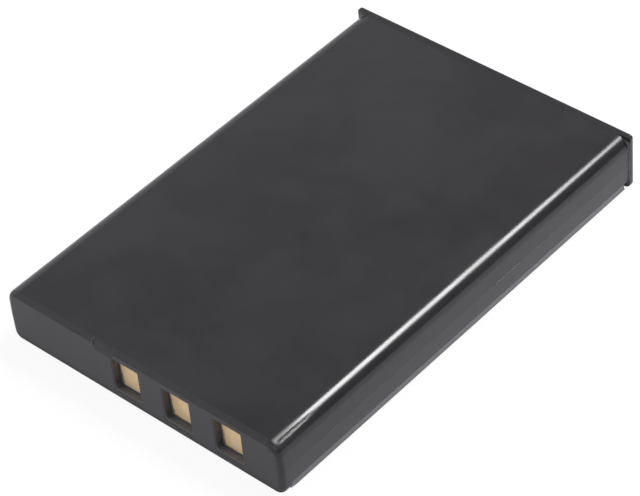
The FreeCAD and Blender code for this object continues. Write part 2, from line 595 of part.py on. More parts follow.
# Insulating card on the can's end, with openings for the seal, the pad and the plug
def end_insulator():
    side = "(%s - Sizes.card_inset)" % CAN_SIDE
    body = plate("end_insulator", CARD_FRONT, "Sizes.card_thickness", ("-" + side, side),
                 (CAN_BOTTOM + " + Sizes.card_inset", CAN_TOP + " - Sizes.card_inset"),
                 "%s - Sizes.card_inset" % CAN_RADIUS)
    openings = sketch_on(body, "card_openings", "XZ_Plane", CARD_FRONT)
    across = "(Sizes.gasket_across / 2 + Sizes.card_room)"
    half = "(Sizes.gasket_tall / 2 + Sizes.card_room)"
    rectangle(openings, "-" + across, across, "%s - %s" % (MIDDLE, half), "%s + %s" % (MIDDLE, half))
    across = "(Sizes.pad_across / 2 + Sizes.card_room)"
    half = "(Sizes.pad_tall / 2 + Sizes.card_room)"
    rectangle(openings, "%s - %s" % (PAD_PLACE, across), "%s + %s" % (PAD_PLACE, across),
              "%s - %s" % (MIDDLE, half), "%s + %s" % (MIDDLE, half))
    circle(openings, PLUG_PLACE, MIDDLE, "Sizes.plug_radius + Sizes.card_room")
    pocket(body, openings, "card_cutouts", "Sizes.card_thickness")
    return body


# Double-sided tape on one flat side of the can
def tape(label, level):
    body = new_body(label)
    sketch = sketch_on(body, label + "_outline", "XY_Plane", level)
    side = "(%s - %s - Sizes.tape_inset)" % (CAN_SIDE, CAN_RADIUS)
    rectangle(sketch, "-" + side, side, CAN_FRONT + " + Sizes.tape_ends", CAN_REAR + " - Sizes.tape_ends")
    pad(body, sketch, label + "_film", "Sizes.tape_thickness")
    return body


# Foam pad that keeps the can from knocking on the rear wall
def rear_foam():
    side = "(%s - Sizes.foam_inset)" % CAN_SIDE
    return plate("rear_foam", CAN_REAR, "Sizes.foam_thickness", ("-" + side, side),
                 (CAN_BOTTOM + " + Sizes.foam_inset", CAN_TOP + " - Sizes.foam_inset"), None)


sub_parts = [
    main_case(),
    bottom_cover(),
    contact("contact_positive", 0),
    contact("contact_sense", 1),
    contact("contact_negative", 2),
    protection_board(),
    leaded_chip("protection_ic", "monitor", 3),
    leaded_chip("switch_transistor", "switch", 4),
    chip_pair("chip_resistors", "resistor"),
    chip_pair("chip_capacitors", "capacitor"),
    small_chip("thermistor", "thermistor", "0"),
    thermal_fuse(),
    fuse_link(),
    negative_tab(),
    positive_tab(),
    lithium_cell(),
    terminal_gasket(),
    cell_terminal(),
    can_pad(),
    filling_plug(),
    end_insulator(),
    tape("top_tape", CAN_TOP),
    tape("bottom_tape", "Sizes.cover_floor"),
    rear_foam(),
]
doc.recompute()

# Nothing is written unless every object and every shape is sound
for item in doc.Objects:
    if "Invalid" in item.State or "Error" in item.State:
        raise RuntimeError("%s failed: %s" % (item.Label, item.State))
for part in sub_parts:
    if part.Shape.isNull() or not part.Shape.isValid():
        raise RuntimeError("%s has no valid shape" % part.Label)

os.makedirs("parts", exist_ok=True)
for part in sub_parts:
    part.Shape.exportStep("parts/%s.step" % part.Label)
    print("%-18s %8.2f mm3, %d solid(s)" % (part.Label, part.Shape.Volume, len(part.Shape.Solids)))
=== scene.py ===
# Flat rechargeable battery pack in a black moulded case, dressed over its CAD frame.
# Metres, in the CAD frame: X across the pack, Y from the contact end to the flange end, Z up.
import math
import bpy
from mathutils import Matrix, Vector


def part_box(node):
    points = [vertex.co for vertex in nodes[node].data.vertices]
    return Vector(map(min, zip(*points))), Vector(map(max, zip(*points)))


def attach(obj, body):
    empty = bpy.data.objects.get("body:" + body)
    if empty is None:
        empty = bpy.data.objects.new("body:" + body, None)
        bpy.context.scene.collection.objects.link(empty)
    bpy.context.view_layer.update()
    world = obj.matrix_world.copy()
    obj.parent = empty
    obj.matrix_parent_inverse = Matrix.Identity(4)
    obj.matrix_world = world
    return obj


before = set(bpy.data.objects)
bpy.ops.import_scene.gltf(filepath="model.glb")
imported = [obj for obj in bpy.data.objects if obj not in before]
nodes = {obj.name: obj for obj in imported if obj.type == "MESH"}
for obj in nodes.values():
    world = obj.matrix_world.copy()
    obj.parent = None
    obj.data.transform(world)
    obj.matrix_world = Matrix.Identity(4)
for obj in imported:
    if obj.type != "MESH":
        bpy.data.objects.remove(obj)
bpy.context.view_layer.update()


# Can of the cell
# A flat can deep drawn from aluminium and welded shut over the wound electrodes; a pin closes its filling
# hole. Drawing leaves fine lines along its length, and washing leaves faint stains.
def add_node(tree, kind, values=None, **settings):
    """New node of one kind, with its settings and the values of the inputs that nothing feeds."""
    node = tree.nodes.new(kind)
    for name, setting in settings.items():
        setattr(node, name, setting)
    for socket, value in (values or {}).items():
        node.inputs[socket].default_value = value
    return node


def math_node(tree, operation, values=None):
    """New node that works on numbers."""
    return add_node(tree, "ShaderNodeMath", values, operation=operation)


def vector_node(tree, operation, values=None):
    """New node that works on vectors."""
    return add_node(tree, "ShaderNodeVectorMath", values, operation=operation)


def range_node(tree, start, end, at_start=0.0, at_end=1.0, blend="LINEAR"):
    """New node that maps the way from start to end onto two values, and holds them beyond."""
    limits = {"From Min": start, "From Max": end, "To Min": at_start, "To Max": at_end}
    return add_node(tree, "ShaderNodeMapRange", limits, interpolation_type=blend)


def wire(tree, *rows):
    """Links of a node tree; a row gives a node, its output, the next node and the input there."""
    for source, output, target, socket in rows:
        tree.links.new(source.outputs[output], target.inputs[socket])


def new_group(name, inputs, outputs):
    """Empty shader group with named sockets, and its two end nodes."""
    group = bpy.data.node_groups.new(name, "ShaderNodeTree")
    for label, kind in inputs:
        group.interface.new_socket(label, in_out="INPUT", socket_type="NodeSocket" + kind)
    for label, kind in outputs:
        group.interface.new_socket(label, in_out="OUTPUT", socket_type="NodeSocket" + kind)
    return group, group.nodes.new("NodeGroupInput"), group.nodes.new("NodeGroupOutput")


def worked_metal():
    """Shader group of worked metal: lines along its grain, and stains."""
    tree, given, result = new_group(
        "worked_metal",
        (("Position", "Vector"), ("Grain", "Vector"), ("Stain Size", "Float"), ("Polish", "Float")),
        (("Shade", "Float"), ("Roughness", "Float"), ("Height", "Float")))
    line_roughness = 0.12
    stain_roughness = 0.14
    stretched = vector_node(tree, "MULTIPLY")
    lines = add_node(tree, "ShaderNodeTexNoise", {"Scale": 1.0, "Detail": 3.0, "Roughness": 0.65})
    stains = add_node(tree, "ShaderNodeTexNoise", {"Detail": 3.0, "Roughness": 0.55})
    shade = range_node(tree, 0.4, 0.75, blend="SMOOTHSTEP")
    from_lines = math_node(tree, "MULTIPLY_ADD", {1: line_roughness})
    from_stains = math_node(tree, "MULTIPLY_ADD", {1: stain_roughness})
    wire(
        tree,
        (given, "Position", stretched, 0),
        (given, "Grain", stretched, 1),
        (stretched, "Vector", lines, "Vector"),
        (given, "Position", stains, "Vector"),
        (given, "Stain Size", stains, "Scale"),
        (stains, "Fac", shade, "Value"),
        (lines, "Fac", from_lines, 0),
        (given, "Polish", from_lines, 2),
        (shade, "Result", from_stains, 0),
        (from_lines, "Value", from_stains, 2),
        (shade, "Result", result, "Shade"),
        (from_stains, "Value", result, "Roughness"),
        (lines, "Fac", result, "Height"))
    return tree


def new_finish(name, group, values, clean, stained, relief_depth, metallic=0.0):
    """Material whose colour, roughness and relief come from a surface group."""
    finish = bpy.data.materials.new(name)
    finish.use_nodes = True
    tree = finish.node_tree
    shader = tree.nodes["Principled BSDF"]
    shader.inputs["Metallic"].default_value = metallic
    place = add_node(tree, "ShaderNodeTexCoord")
    surface = add_node(tree, "ShaderNodeGroup", values, node_tree=group)
    tint = add_node(tree, "ShaderNodeValToRGB")
    tint.color_ramp.elements[0].color = (*clean, 1.0)
    tint.color_ramp.elements[1].color = (*stained, 1.0)
    relief = add_node(tree, "ShaderNodeBump", {"Strength": 1.0, "Distance": relief_depth})
    wire(
        tree,
        (place, "Object", surface, "Position"),
        (surface, "Shade", tint, "Fac"),
        (tint, "Color", shader, "Base Color"),
        (surface, "Roughness", shader, "Roughness"),
        (surface, "Height", relief, "Height"),
        (relief, "Normal", shader, "Normal"))
    return finish


def dress(finish, *names):
    """Give CAD nodes a finish in place of their plain one."""
    for name in names:
        nodes[name].material_slots[0].material = finish


metal = worked_metal()
drawn_aluminium = new_finish(
    "drawn_aluminium", metal, {"Grain": (9000.0, 300.0, 9000.0), "Stain Size": 140.0, "Polish": 0.28},
    clean=(0.72, 0.73, 0.74), stained=(0.58, 0.585, 0.6), relief_depth=2e-6, metallic=1.0)
dress(drawn_aluminium, "lithium_cell", "filling_plug")


# Seal and terminal of the cell
# A plastic gasket seals the riveted terminal plate; the can's own pole is a clad pad welded beside it.
# Nickel strips are spot-welded to both and carry the current to the board.
def moulded_plastic():
    """Shader group of moulded plastic: the tool's fine grain, and smudges from handling."""
    tree, given, result = new_group(
        "moulded_plastic",
        (("Position", "Vector"), ("Grain Size", "Float"), ("Polish", "Float"), ("Smudge", "Float")),
        (("Shade", "Float"), ("Roughness", "Float"), ("Height", "Float")))
    smudge_look = {"Scale": 110.0, "Detail": 4.0, "Roughness": 0.6, "Distortion": 0.4}
    grain = add_node(tree, "ShaderNodeTexNoise", {"Detail": 2.0, "Roughness": 0.6})
    smudges = add_node(tree, "ShaderNodeTexNoise", smudge_look)
    shade = range_node(tree, 0.3, 0.7, blend="SMOOTHSTEP")
    rough = math_node(tree, "MULTIPLY_ADD")
    wire(
        tree,
        (given, "Position", grain, "Vector"),
        (given, "Grain Size", grain, "Scale"),
        (given, "Position", smudges, "Vector"),
        (smudges, "Fac", shade, "Value"),
        (shade, "Result", rough, 0),
        (given, "Smudge", rough, 1),
        (given, "Polish", rough, 2),
        (shade, "Result", result, "Shade"),
        (rough, "Value", result, "Roughness"),
        (grain, "Fac", result, "Height"))
    return tree


plastic = moulded_plastic()
gasket_plastic = new_finish(
    "gasket_plastic", plastic, {"Grain Size": 9000.0, "Polish": 0.4, "Smudge": 0.1},
    clean=(0.74, 0.73, 0.69), stained=(0.66, 0.64, 0.58), relief_depth=3e-6)
dress(gasket_plastic, "terminal_gasket")

rolled_nickel = new_finish(
    "rolled_nickel", metal, {"Grain": (500.0, 9000.0, 12000.0), "Stain Size": 500.0, "Polish": 0.24},
    clean=(0.64, 0.61, 0.56), stained=(0.5, 0.46, 0.4), relief_depth=2e-6, metallic=1.0)
dress(rolled_nickel, "cell_terminal", "can_pad", "negative_tab", "positive_tab", "fuse_link")


# Insulating card
# A die-cut pressed card on the can's end, with openings for the seal, the pad and the plug.
# Its fibres show as fine mottling.
pressed_card = new_finish(
    "pressed_card", plastic, {"Grain Size": 14000.0, "Polish": 0.75, "Smudge": 0.1},
    clean=(0.5, 0.41, 0.26), stained=(0.42, 0.33, 0.2), relief_depth=1.2e-5)
dress(pressed_card, "end_insulator")


# Thermal fuse
# A cut-off in a moulded black body that lies on the card, in the negative line.
# Its two flat leads are welded to the cell's strip and to the link that leads to the board.
fuse_plastic = new_finish(
    "fuse_plastic", plastic, {"Grain Size": 7000.0, "Polish": 0.4, "Smudge": 0.12},
    clean=(0.03, 0.03, 0.032), stained=(0.045, 0.045, 0.047), relief_depth=6e-6)
dress(fuse_plastic, "thermal_fuse")


# Protection board and its chips
# A green glass-fibre board that stands behind the front wall, with two moulded chips and five ceramic ones
# soldered to its back; they cut the cell off when it is overcharged, drained, shorted or hot.
solder_mask = new_finish(
    "solder_mask", plastic, {"Grain Size": 5000.0, "Polish": 0.3, "Smudge": 0.12},
    clean=(0.02, 0.14, 0.05), stained=(0.03, 0.19, 0.08), relief_depth=8e-6)
dress(solder_mask, "protection_board")

chip_epoxy = new_finish(
    "chip_epoxy", plastic, {"Grain Size": 12000.0, "Polish": 0.5, "Smudge": 0.1},
    clean=(0.018, 0.018, 0.02), stained=(0.03, 0.03, 0.032), relief_depth=5e-6)
dress(chip_epoxy, "protection_ic", "switch_transistor")

fired_ceramic = new_finish(
    "fired_ceramic", plastic, {"Grain Size": 9000.0, "Polish": 0.45, "Smudge": 0.15},
    clean=(0.36, 0.29, 0.2), stained=(0.28, 0.21, 0.14), relief_depth=5e-6)
dress(fired_ceramic, "chip_resistors", "chip_capacitors", "thermistor")


# Contacts
# Three plates stamped from copper alloy and gold plated, soldered to the board's front behind the windows.
# Springs of the phone or charger rub them, which leaves fine upright scratches and dull spots.
contacts = ("contact_positive", "contact_sense", "contact_negative")
gold_plating = new_finish(
    "gold_plating", metal, {"Grain": (12000.0, 12000.0, 700.0), "Stain Size": 600.0, "Polish": 0.42},
    clean=(0.92, 0.68, 0.41), stained=(0.84, 0.6, 0.35), relief_depth=3e-6, metallic=0.25)
dress(gold_plating, *contacts)


# Tapes and foam
# Double-sided film tapes, cut to size, hold the can between case and cover.
# A pad of closed-cell foam fills the gap between the can and the rear wall.
tape_film = new_finish(
    "tape_film", plastic, {"Grain Size": 4000.0, "Polish": 0.35, "Smudge": 0.15},
    clean=(0.7, 0.69, 0.63), stained=(0.62, 0.6, 0.52), relief_depth=4e-6)
dress(tape_film, "top_tape", "bottom_tape")

closed_foam = new_finish(
    "closed_foam", plastic, {"Grain Size": 6000.0, "Polish": 0.85, "Smudge": 0.05},
    clean=(0.035, 0.035, 0.037), stained=(0.06, 0.06, 0.062), relief_depth=3e-5)
dress(closed_foam, "rear_foam")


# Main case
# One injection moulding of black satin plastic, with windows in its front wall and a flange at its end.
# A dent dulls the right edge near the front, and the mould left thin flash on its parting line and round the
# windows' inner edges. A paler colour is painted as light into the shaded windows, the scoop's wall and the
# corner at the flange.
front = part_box("main_case")[0].y
plates = [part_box(name) for name in contacts]
plate_face = plates[0][0].y
window_middles = [(low.x + high.x) / 2 for low, high in plates]
window_pitch = window_middles[1] - window_middles[0]
window_width = 0.0033
window_height = 0.004
window_level = 0.0033
case_top = 0.0065
case_width = 0.0353
parting_level = 0.0032

case_plastic = new_finish(
    "case_plastic", plastic, {"Grain Size": 6000.0, "Polish": 0.2, "Smudge": 0.06},
    clean=(0.0203, 0.0188, 0.022), stained=(0.0237, 0.0222, 0.0254), relief_depth=1.2e-6)
dress(case_plastic, "main_case")


def dent_edge(finish):
    """Dent along the round of the right edge, near the front: a mottled groove, and dull wear about it."""
    round_axis = (0.01606, 0.0, 0.005)
    dent_lean = math.radians(33.0)
    dent_reach = math.radians(11.0)
    wear_reach = math.radians(30.0)
    full_wear = math.radians(15.0)
    wear_roughness = 0.2
    dent_depth = 3.5e-5
    streak_shape = (1.0, 0.5, 1.0)
    streak_contrast = {1: 1.2, 2: 0.4}
    tree = finish.node_tree
    shader = tree.nodes["Principled BSDF"]
    grained = shader.inputs["Normal"].links[0].from_socket
    plain_rough = shader.inputs["Roughness"].links[0].from_socket
    place = add_node(tree, "ShaderNodeTexCoord")
    from_round = vector_node(tree, "SUBTRACT", {1: round_axis})
    offsets = add_node(tree, "ShaderNodeSeparateXYZ")
    lean = math_node(tree, "ARCTAN2")
    aside = math_node(tree, "SUBTRACT", {1: dent_lean})
    apart = math_node(tree, "ABSOLUTE")
    groove = range_node(tree, dent_reach, 0.0, blend="SMOOTHERSTEP")
    near_front = range_node(tree, front + 0.007, front + 0.002, blend="SMOOTHSTEP")
    short_of_rim = range_node(tree, front + 0.0006, front + 0.0012, blend="SMOOTHSTEP")
    along_dent = math_node(tree, "MULTIPLY")
    sunk = math_node(tree, "MULTIPLY")
    streaked = vector_node(tree, "MULTIPLY", {1: streak_shape})
    uneven = add_node(tree, "ShaderNodeTexNoise", {"Scale": 3600.0, "Detail": 2.0})
    softened = math_node(tree, "MULTIPLY_ADD", streak_contrast)
    mottled = math_node(tree, "MULTIPLY")
    dent = add_node(tree, "ShaderNodeBump", {"Strength": 1.0, "Distance": dent_depth}, invert=True)
    rubbed = range_node(tree, front + 0.006, front + 0.0007, blend="SMOOTHSTEP")
    edged = range_node(tree, wear_reach, full_wear)
    chafed = math_node(tree, "MULTIPLY")
    worn = math_node(tree, "MULTIPLY_ADD", {1: wear_roughness})
    wire(
        tree,
        (place, "Object", from_round, 0),
        (from_round, "Vector", offsets, "Vector"),
        (offsets, "X", lean, 0),
        (offsets, "Z", lean, 1),
        (lean, "Value", aside, 0),
        (aside, "Value", apart, 0),
        (apart, "Value", groove, "Value"),
        (offsets, "Y", near_front, "Value"),
        (offsets, "Y", short_of_rim, "Value"),
        (near_front, "Result", along_dent, 0),
        (short_of_rim, "Result", along_dent, 1),
        (groove, "Result", sunk, 0),
        (along_dent, "Value", sunk, 1),
        (place, "Object", streaked, 0),
        (streaked, "Vector", uneven, "Vector"),
        (uneven, "Fac", softened, 0),
        (sunk, "Value", mottled, 0),
        (softened, "Value", mottled, 1),
        (mottled, "Value", dent, "Height"),
        (dent, "Normal", shader, "Normal"),
        (offsets, "Y", rubbed, "Value"),
        (apart, "Value", edged, "Value"),
        (edged, "Result", chafed, 0),
        (rubbed, "Result", chafed, 1),
        (chafed, "Value", worn, 0),
        (worn, "Value", shader, "Roughness"))
    tree.links.new(grained, dent.inputs["Normal"])
    tree.links.new(plain_rough, worn.inputs[2])


def within(tree, place, middle, reach):
    """Mask node of a box, given by its middle and half sizes in the piece's own coordinates."""
    offset = vector_node(tree, "SUBTRACT", {1: middle})
    unsigned = vector_node(tree, "ABSOLUTE")
    shares = vector_node(tree, "DIVIDE", {1: reach})
    parts = add_node(tree, "ShaderNodeSeparateXYZ")
    farther = math_node(tree, "MAXIMUM")
    farthest = math_node(tree, "MAXIMUM")
    mask = range_node(tree, 1.0, 0.96)
    wire(
        tree,
        (place, "Object", offset, 0),
        (offset, "Vector", unsigned, 0),
        (unsigned, "Vector", shares, 0),
        (shares, "Vector", parts, "Vector"),
        (parts, "X", farther, 0),
        (parts, "Y", farther, 1),
        (farther, "Value", farthest, 0),
        (parts, "Z", farthest, 1),
        (farthest, "Value", mask, "Value"))
    return mask


def paint_recess_light(finish):
    """Painted light: a paler colour brightens the shaded windows, most of it on sills and film, the scoop's
    wall and the flange's corner.
    """
    painted_light_colour = (0.29, 0.295, 0.32, 1.0)
    pale_patch_roughness = 0.4
    scoop_share = 0.5
    flange_share = 0.35
    sill = window_level - window_height / 2
    windows_middle = (window_middles[1], front + 0.0005, window_level)
    windows_reach = (window_pitch + window_width / 2 + 0.00045, 0.00047, window_height / 2 + 0.0001)
    scoop_axis = (window_middles[0] - 0.00268, 0.0, case_top)
    scoop_radius = 0.0015
    radius_margin = 0.00003
    scoop_middle = (scoop_axis[0] - 0.0014, front + 0.00014, case_top - 0.0007)
    scoop_reach = (0.0003, 0.00016, 0.0009)
    flange_middle = (0.0, 0.026, 0.003)
    flange_reach = (0.019, 0.00008, 0.0032)
    tree = finish.node_tree
    shader = tree.nodes["Principled BSDF"]
    clean_colour = shader.inputs["Base Color"].links[0].from_socket
    clean_rough = shader.inputs["Roughness"].links[0].from_socket
    place = add_node(tree, "ShaderNodeTexCoord")
    in_windows = within(tree, place, windows_middle, windows_reach)
    at_scoop = within(tree, place, scoop_middle, scoop_reach)
    at_flange = within(tree, place, flange_middle, flange_reach)
    from_axis = vector_node(tree, "SUBTRACT", {1: scoop_axis})
    radial = vector_node(tree, "MULTIPLY", {1: (1.0, 0.0, 1.0)})
    radius = vector_node(tree, "LENGTH")
    on_wall = math_node(tree, "COMPARE", {1: scoop_radius, 2: radius_margin})
    in_scoop = math_node(tree, "MULTIPLY")
    spot = add_node(tree, "ShaderNodeSeparateXYZ")
    on_sill = range_node(tree, sill + 0.0005, sill + 0.0001, 0.16, 0.6)
    on_film = range_node(tree, plate_face - 0.0001, plate_face - 0.00004, 0.06, 0.6)
    thinning = range_node(tree, front + 0.00003, plate_face - 0.0001, 0.9, 0.45)
    graded = math_node(tree, "MULTIPLY")
    heavier = math_node(tree, "MAXIMUM")
    window_painted_light = math_node(tree, "MULTIPLY")
    scoop_painted_light = math_node(tree, "MULTIPLY_ADD", {1: scoop_share})
    painted_light_share = math_node(tree, "MULTIPLY_ADD", {1: flange_share})
    # The paler colour mixed in here is painted light in shaded recesses; the same mask also raises their
    # roughness.
    lightened = add_node(tree, "ShaderNodeMix", {7: painted_light_colour}, data_type="RGBA")
    dulled = math_node(tree, "MULTIPLY_ADD", {1: pale_patch_roughness})
    wire(
        tree,
        (place, "Object", from_axis, 0),
        (from_axis, "Vector", radial, 0),
        (radial, "Vector", radius, 0),
        (radius, "Value", on_wall, 0),
        (at_scoop, "Result", in_scoop, 0),
        (on_wall, "Value", in_scoop, 1),
        (place, "Object", spot, "Vector"),
        (spot, "Z", on_sill, "Value"),
        (spot, "Y", on_film, "Value"),
        (spot, "Y", thinning, "Value"),
        (on_sill, "Result", graded, 0),
        (thinning, "Result", graded, 1),
        (graded, "Value", heavier, 0),
        (on_film, "Result", heavier, 1),
        (in_windows, "Result", window_painted_light, 0),
        (heavier, "Value", window_painted_light, 1),
        (in_scoop, "Value", scoop_painted_light, 0),
        (window_painted_light, "Value", scoop_painted_light, 2),
        (at_flange, "Result", painted_light_share, 0),
        (scoop_painted_light, "Value", painted_light_share, 2),
        (painted_light_share, "Value", lightened, "Factor"),
        (lightened, 2, shader, "Base Color"),
        (painted_light_share, "Value", dulled, 0),
        (dulled, "Value", shader, "Roughness"))
    tree.links.new(clean_colour, lightened.inputs[6])
    tree.links.new(clean_rough, dulled.inputs[2])


dent_edge(case_plastic)
# Painted light: a paler colour brightens the shaded windows, the scoop's wall and the corner at the flange.
paint_recess_light(case_plastic)


def new_growth(name, inputs):
    """Empty Geometry Nodes tree with named sizes, and its two end nodes."""
    tree = bpy.data.node_groups.new(name, "GeometryNodeTree")
    for label in inputs:
        tree.interface.new_socket(label, in_out="INPUT", socket_type="NodeSocketFloat")
    tree.interface.new_socket("Geometry", in_out="OUTPUT", socket_type="NodeSocketGeometry")
    return tree, tree.nodes.new("NodeGroupInput"), tree.nodes.new("NodeGroupOutput")


def end_growth(tree, last, output, finish, result):
    """Close a tree: real geometry, its material, and out."""
    real = add_node(tree, "GeometryNodeRealizeInstances")
    painted = add_node(tree, "GeometryNodeSetMaterial", {"Material": finish})
    wire(
        tree,
        (last, output, real, "Geometry"),
        (real, "Geometry", painted, "Geometry"),
        (painted, "Geometry", result, "Geometry"))


def grow(tree, sizes):
    """Plain mesh object that a tree makes from its sizes."""
    piece = bpy.data.objects.new(tree.name, bpy.data.meshes.new(tree.name))
    bpy.context.scene.collection.objects.link(piece)
    modifier = piece.modifiers.new(tree.name, "NODES")
    modifier.node_group = tree
    for item in tree.interface.items_tree:
        if item.in_out == "INPUT":
            modifier[item.identifier] = sizes[item.name]
    grown = piece.evaluated_get(bpy.context.evaluated_depsgraph_get())
    mesh = bpy.data.meshes.new_from_object(grown)
    piece.modifiers.remove(modifier)
    piece.data = mesh
    return piece


def window_flash():
    """Ragged film round the inner edges of a row of windows; the opening that it leaves leans."""
    tree, given, result = new_growth("window_flash", (
        "Width", "Height", "Pitch", "Reach", "Lean", "Lip", "Thickness", "First", "Face", "Level", "Seed"))
    rag_look = {"Scale": 3200.0, "Detail": 3.0, "Roughness": 0.7}
    upright = (math.pi / 2, 0.0, 0.0)
    weld_distance = 1e-7
    rim = add_node(tree, "GeometryNodeCurvePrimitiveQuadrilateral")
    steps = add_node(tree, "GeometryNodeResampleCurve", {"Count": 240})
    edge = add_node(tree, "GeometryNodeCurveToMesh")
    apart = add_node(tree, "ShaderNodeCombineXYZ")
    row = add_node(tree, "GeometryNodeMeshLine", {"Count": len(contacts)})
    on_row = add_node(tree, "GeometryNodeInstanceOnPoints")
    real = add_node(tree, "GeometryNodeRealizeInstances")
    spot = add_node(tree, "GeometryNodeInputPosition")
    spread = add_node(tree, "ShaderNodeSeparateXYZ")
    half_pitch = math_node(tree, "MULTIPLY", {1: 0.5})
    minus_half_pitch = math_node(tree, "MULTIPLY", {1: -0.5})
    half_width = math_node(tree, "MULTIPLY", {1: 0.5})
    half_height = math_node(tree, "MULTIPLY", {1: 0.5})
    local = math_node(tree, "WRAP")
    side_sign = math_node(tree, "SIGN")
    up_sign = math_node(tree, "SIGN")
    side_size = math_node(tree, "ABSOLUTE")
    up_size = math_node(tree, "ABSOLUTE")
    up_share = math_node(tree, "DIVIDE")
    turned = math_node(tree, "MULTIPLY")
    leaning = math_node(tree, "MULTIPLY_ADD")
    ragged = add_node(tree, "ShaderNodeTexNoise", rag_look, noise_dimensions="4D")
    uneven = range_node(tree, 0.3, 0.7, 0.6, 1.4)
    side_film = math_node(tree, "MULTIPLY")
    up_film = math_node(tree, "MULTIPLY")
    side_limit = math_node(tree, "SUBTRACT")
    up_limit = math_node(tree, "SUBTRACT")
    side_over = math_node(tree, "SUBTRACT")
    up_over = math_node(tree, "SUBTRACT")
    side_kept = math_node(tree, "MAXIMUM", {1: 0.0})
    up_kept = math_node(tree, "MAXIMUM", {1: 0.0})
    side_move = math_node(tree, "MULTIPLY")
    up_move = math_node(tree, "MULTIPLY")
    inward = add_node(tree, "ShaderNodeCombineXYZ")
    film = add_node(tree, "GeometryNodeExtrudeMesh", {"Offset Scale": -1.0}, mode="EDGES")
    outward = add_node(tree, "GeometryNodeFlipFaces")
    shell = add_node(tree, "GeometryNodeExtrudeMesh", {"Individual": False}, mode="FACES")
    closed = add_node(tree, "GeometryNodeJoinGeometry")
    welded = add_node(tree, "GeometryNodeMergeByDistance", {"Distance": weld_distance})
    corner = add_node(tree, "ShaderNodeCombineXYZ")
    placed = add_node(tree, "GeometryNodeTransform", {"Rotation": upright})
    wire(
        tree,
        (given, "Width", rim, "Width"), (given, "Height", rim, "Height"),
        (rim, "Curve", steps, "Curve"), (steps, "Curve", edge, "Curve"),
        (given, "Pitch", apart, "X"), (apart, "Vector", row, "Offset"),
        (row, "Mesh", on_row, "Points"), (edge, "Mesh", on_row, "Instance"),
        (on_row, "Instances", real, "Geometry"), (spot, "Position", spread, "Vector"),
        (given, "Pitch", half_pitch, 0), (given, "Pitch", minus_half_pitch, 0),
        (given, "Width", half_width, 0), (given, "Height", half_height, 0),
        (spread, "X", local, 0), (half_pitch, "Value", local, 1), (minus_half_pitch, "Value", local, 2),
        (local, "Value", side_sign, 0), (spread, "Y", up_sign, 0),
        (local, "Value", side_size, 0), (spread, "Y", up_size, 0),
        (spread, "Y", up_share, 0), (half_height, "Value", up_share, 1),
        (side_sign, "Value", turned, 0), (up_share, "Value", turned, 1),
        (turned, "Value", leaning, 0), (given, "Lean", leaning, 1), (given, "Reach", leaning, 2),
        (spot, "Position", ragged, "Vector"), (given, "Seed", ragged, "W"), (ragged, "Fac", uneven, "Value"),
        (leaning, "Value", side_film, 0), (uneven, "Result", side_film, 1),
        (given, "Lip", up_film, 0), (uneven, "Result", up_film, 1),
        (half_width, "Value", side_limit, 0), (side_film, "Value", side_limit, 1),
        (half_height, "Value", up_limit, 0), (up_film, "Value", up_limit, 1),
        (side_size, "Value", side_over, 0), (side_limit, "Value", side_over, 1),
        (up_size, "Value", up_over, 0), (up_limit, "Value", up_over, 1),
        (side_over, "Value", side_kept, 0), (up_over, "Value", up_kept, 0),
        (side_kept, "Value", side_move, 0), (side_sign, "Value", side_move, 1),
        (up_kept, "Value", up_move, 0), (up_sign, "Value", up_move, 1),
        (side_move, "Value", inward, "X"), (up_move, "Value", inward, "Y"),
        (real, "Geometry", film, "Mesh"), (inward, "Vector", film, "Offset"),
        (film, "Mesh", outward, "Mesh"), (outward, "Mesh", shell, "Mesh"),
        (given, "Thickness", shell, "Offset Scale"),
        (film, "Mesh", closed, "Geometry"), (shell, "Mesh", closed, "Geometry"),
        (closed, "Geometry", welded, "Geometry"),
        (given, "First", corner, "X"), (given, "Face", corner, "Y"), (given, "Level", corner, "Z"),
        (corner, "Vector", placed, "Translation"), (welded, "Geometry", placed, "Geometry"))
    end_growth(tree, placed, "Geometry", case_plastic, result)
    return tree


window_film = grow(window_flash(), {
    "Width": window_width, "Height": window_height, "Pitch": window_pitch,
    "Reach": 1.8e-4, "Lean": 1.7e-4, "Lip": 1.4e-4, "Thickness": 3e-5,
    "First": window_middles[0], "Face": plate_face - 2e-6, "Level": window_level, "Seed": 7.0})
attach(window_film, "root")


